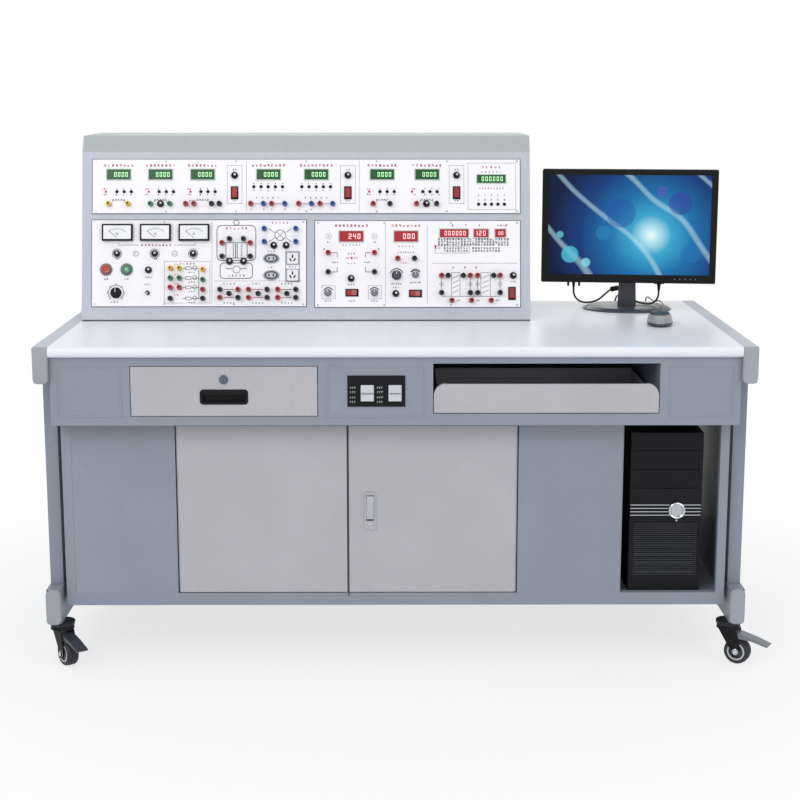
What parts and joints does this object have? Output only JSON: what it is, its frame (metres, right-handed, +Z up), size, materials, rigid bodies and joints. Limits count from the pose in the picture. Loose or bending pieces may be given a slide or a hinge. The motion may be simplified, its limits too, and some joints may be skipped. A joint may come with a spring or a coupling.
{
  "type": "electronics lab trainer",
  "caption": "Wheeled bench with a leaning instrument console, drawer, keyboard tray, cupboard and computer bay.",
  "frame": {"origin": "on the floor under the centre of the bench", "axes": "+X to the user's right along the bench, +Y away from the user to the back, +Z up"},
  "size_m": [1.7294, 0.8368, 1.1942],
  "materials": {
    "worktop": "pale laminate",
    "frame_paint": "powder coated tube",
    "cap_plastic": "moulded caps",
    "case_paint": "blue-grey powder coat",
    "door_paint": "warm light grey powder coat",
    "console_paint": "grey powder coat",
    "board": "white laminated panel",
    "terminals": "red, black, yellow, green and blue mouldings",
    "black_plastic": "black mouldings",
    "display": "red filter windows",
    "red_plastic": "red caps",
    "green_plastic": "green cap",
    "grey_plastic": "grey knobs",
    "white_plastic": "white switch paddles",
    "steel": "zinc plated",
    "chrome": "plated",
    "tyre": "black tread",
    "electronics": "circuit boards and a transformer",
    "lead": "flexible leads",
    "computer": "black housings",
    "screen": "black bezel and lit screen"
  },
  "bodies": {
    "bench": {"worktop": "worktop", "side_frames": "frame_paint", "end_caps": "cap_plastic", "caster_plates": "steel", "apron_case": "case_paint", "slide_runners": "steel", "switch_plate": "black_plastic", "cabinet_case": "case_paint", "pc_tower": "computer", "console_case": "console_paint", "instrument_boards": "board", "binding_posts": "terminals", "display_modules": "display", "panel_meters": "black_plastic", "panel_fittings": "black_plastic", "mains_sockets": "black_plastic", "console_electronics": "electronics", "monitor_stand": "computer", "rear_plugs": "computer", "mouse": "grey_plastic", "video_cord": "lead", "monitor_power_cord": "lead", "mouse_cord": "lead"},
    "toggle": {"toggle_lever": "chrome"},
    "drawer": {"drawer": "door_paint", "drawer_pull": "black_plastic", "drawer_lock": "chrome"},
    "tray": {"keyboard_tray": "door_paint"},
    "door_left": {"left_door": "door_paint"},
    "door_right": {"right_door": "door_paint", "handle_plate": "black_plastic"},
    "handle": {"door_handle": "black_plastic"},
    "mains_switches": {"mains_rockers": "white_plastic"},
    "tower_button": {"pc_button": "grey_plastic"},
    "screen_head": {"monitor_head": "screen", "head_plugs": "computer"},
    "selector": {"selector_knob": "grey_plastic"},
    "voltage_dial": {"voltage_knob": "grey_plastic"},
    "current_dial": {"current_knob": "grey_plastic"},
    "range_dial": {"range_knob": "grey_plastic"},
    "fine_dial": {"fine_knob": "grey_plastic"},
    "stop": {"stop_button": "red_plastic"},
    "start": {"start_button": "green_plastic"},
    "keys": {"range_keys": "black_plastic"},
    "module_switches": {"module_rockers": "red_plastic"},
    "supply_switch": {"supply_rocker": "red_plastic"},
    "generator_switch": {"generator_rocker": "red_plastic"},
    "counter_switch": {"counter_rocker": "red_plastic"},
    "fork_front_left": {"caster_fork_front_left": "black_plastic"},
    "wheel_front_left": {"caster_wheel_front_left": "tyre"},
    "pedal_front_left": {"caster_brake_front_left": "steel"},
    "fork_front_right": {"caster_fork_front_right": "black_plastic"},
    "wheel_front_right": {"caster_wheel_front_right": "tyre"},
    "pedal_front_right": {"caster_brake_front_right": "steel"},
    "fork_rear_left": {"caster_fork_rear_left": "black_plastic"},
    "wheel_rear_left": {"caster_wheel_rear_left": "tyre"},
    "pedal_rear_left": {"caster_brake_rear_left": "steel"},
    "fork_rear_right": {"caster_fork_rear_right": "black_plastic"},
    "wheel_rear_right": {"caster_wheel_rear_right": "tyre"},
    "pedal_rear_right": {"caster_brake_rear_right": "steel"}
  },
  "joints": [
    {"name": "drawer_slide", "type": "slide", "parent": "bench", "child": "drawer", "axis": [0, -1, 0], "range_m": [0, 0.34]},
    {"name": "tray_slide", "type": "slide", "parent": "bench", "child": "tray", "axis": [0, -1, 0], "range_m": [0, 0.28]},
    {"name": "left_door_hinge", "type": "hinge", "parent": "bench", "child": "door_left", "pos_m": [-0.4895, -0.321, 0.3645], "axis": [0, 0, -1], "range_deg": [0, 95]},
    {"name": "right_door_hinge", "type": "hinge", "parent": "bench", "child": "door_right", "pos_m": [0.2685, -0.321, 0.3645], "axis": [0, 0, 1], "range_deg": [0, 95]},
    {"name": "handle_hinge", "type": "hinge", "parent": "door_right", "child": "handle", "pos_m": [-0.0585, -0.326, 0.395], "axis": [-1, 0, 0], "range_deg": [0, 30], "stiffness_Nm_per_rad": 0.02},
    {"name": "mains_rocker_tilt", "type": "hinge", "parent": "bench", "child": "mains_switches", "pos_m": [-0.043, -0.38257, 0.645], "axis": [1, 0, 0], "range_deg": [0, 14]},
    {"name": "tower_button_press", "type": "slide", "parent": "bench", "child": "tower_button", "axis": [0, 1, 0], "range_m": [0, 0.0015], "stiffness_N_per_m": 500},
    {"name": "screen_tilt", "type": "hinge", "parent": "bench", "child": "screen_head", "pos_m": [0.59829, 0.25052, 0.905], "axis": [0.9925, -0.1219, 0], "range_deg": [-20, 0]},
    {"name": "selector_knob_turn", "type": "hinge", "parent": "bench", "child": "selector", "pos_m": [-0.682, 0.02601, 0.81801], "axis": [0, 0.9763, -0.2164], "range_deg": [-135, 135]},
    {"name": "voltage_knob_turn", "type": "hinge", "parent": "bench", "child": "voltage_dial", "pos_m": [-0.165, 0.02601, 0.81801], "axis": [0, 0.9763, -0.2164], "range_deg": [-135, 135]},
    {"name": "current_knob_turn", "type": "hinge", "parent": "bench", "child": "current_dial", "pos_m": [-0.051, 0.02601, 0.81801], "axis": [0, 0.9763, -0.2164], "range_deg": [-135, 135]},
    {"name": "range_knob_turn", "type": "hinge", "parent": "bench", "child": "range_dial", "pos_m": [0.003, 0.03531, 0.85999], "axis": [0, 0.9763, -0.2164], "range_deg": [-135, 135]},
    {"name": "fine_knob_turn", "type": "hinge", "parent": "bench", "child": "fine_dial", "pos_m": [0.049, 0.03553, 0.86097], "axis": [0, 0.9763, -0.2164], "range_deg": [-135, 135]},
    {"name": "stop_press", "type": "slide", "parent": "bench", "child": "stop", "axis": [0, 0.9763, -0.2164], "range_m": [0, 0.004], "stiffness_N_per_m": 700},
    {"name": "start_press", "type": "slide", "parent": "bench", "child": "start", "axis": [0, 0.9763, -0.2164], "range_m": [0, 0.004], "stiffness_N_per_m": 700},
    {"name": "keys_press", "type": "slide", "parent": "bench", "child": "keys", "axis": [0, 0.9763, -0.2164], "range_m": [0, 0.002], "stiffness_N_per_m": 1500},
    {"name": "module_rocker_tilt", "type": "hinge", "parent": "bench", "child": "module_switches", "pos_m": [-0.393, 0.08196, 1.05656], "axis": [1, 0, 0], "range_deg": [0, 14]},
    {"name": "supply_rocker_tilt", "type": "hinge", "parent": "bench", "child": "supply_switch", "pos_m": [-0.106, 0.02893, 0.81736], "axis": [0, 0.2164, 0.9763], "range_deg": [0, 14]},
    {"name": "generator_rocker_tilt", "type": "hinge", "parent": "bench", "child": "generator_switch", "pos_m": [0.049, 0.0285, 0.81541], "axis": [0, 0.2164, 0.9763], "range_deg": [0, 14]},
    {"name": "counter_rocker_tilt", "type": "hinge", "parent": "bench", "child": "counter_switch", "pos_m": [0.285, 0.0285, 0.81541], "axis": [1, 0, 0], "range_deg": [0, 14]},
    {"name": "toggle_tilt", "type": "hinge", "parent": "bench", "child": "toggle", "pos_m": [-0.605, 0.0221, 0.81888], "axis": [-1, 0, 0], "range_deg": [0, 24]},
    {"name": "swivel_front_left", "type": "hinge", "parent": "bench", "child": "fork_front_left", "pos_m": [-0.771, -0.325, 0.0967], "axis": [0, 0, 1], "continuous": true},
    {"name": "roll_front_left", "type": "hinge", "parent": "fork_front_left", "child": "wheel_front_left", "pos_m": [-0.75656, -0.34417, 0.03], "axis": [0.7986, 0.6018, 0], "continuous": true},
    {"name": "brake_front_left", "type": "hinge", "parent": "fork_front_left", "child": "pedal_front_left", "pos_m": [-0.76739, -0.32979, 0.07], "axis": [-0.7986, -0.6018, 0], "range_deg": [0, 12]},
    {"name": "swivel_front_right", "type": "hinge", "parent": "bench", "child": "fork_front_right", "pos_m": [0.771, -0.325, 0.0967], "axis": [0, 0, 1], "continuous": true},
    {"name": "roll_front_right", "type": "hinge", "parent": "fork_front_right", "child": "wheel_front_right", "pos_m": [0.79178, -0.337, 0.03], "axis": [0.5, 0.866, 0], "continuous": true},
    {"name": "brake_front_right", "type": "hinge", "parent": "fork_front_right", "child": "pedal_front_right", "pos_m": [0.7762, -0.328, 0.07], "axis": [-0.5, -0.866, 0], "range_deg": [0, 12]},
    {"name": "swivel_rear_left", "type": "hinge", "parent": "bench", "child": "fork_rear_left", "pos_m": [-0.771, 0.325, 0.0967], "axis": [0, 0, 1], "continuous": true},
    {"name": "roll_rear_left", "type": "hinge", "parent": "fork_rear_left", "child": "wheel_rear_left", "pos_m": [-0.79178, 0.337, 0.03], "axis": [-0.5, -0.866, 0], "continuous": true},
    {"name": "brake_rear_left", "type": "hinge", "parent": "fork_rear_left", "child": "pedal_rear_left", "pos_m": [-0.7762, 0.328, 0.07], "axis": [0.5, 0.866, 0], "range_deg": [0, 12]},
    {"name": "swivel_rear_right", "type": "hinge", "parent": "bench", "child": "fork_rear_right", "pos_m": [0.771, 0.325, 0.0967], "axis": [0, 0, 1], "continuous": true},
    {"name": "roll_rear_right", "type": "hinge", "parent": "fork_rear_right", "child": "wheel_rear_right", "pos_m": [0.75656, 0.34417, 0.03], "axis": [-0.7986, -0.6018, 0], "continuous": true},
    {"name": "brake_rear_right", "type": "hinge", "parent": "fork_rear_right", "child": "pedal_rear_right", "pos_m": [0.76739, 0.32979, 0.07], "axis": [0.7986, 0.6018, 0], "range_deg": [0, 12]}
  ]
}
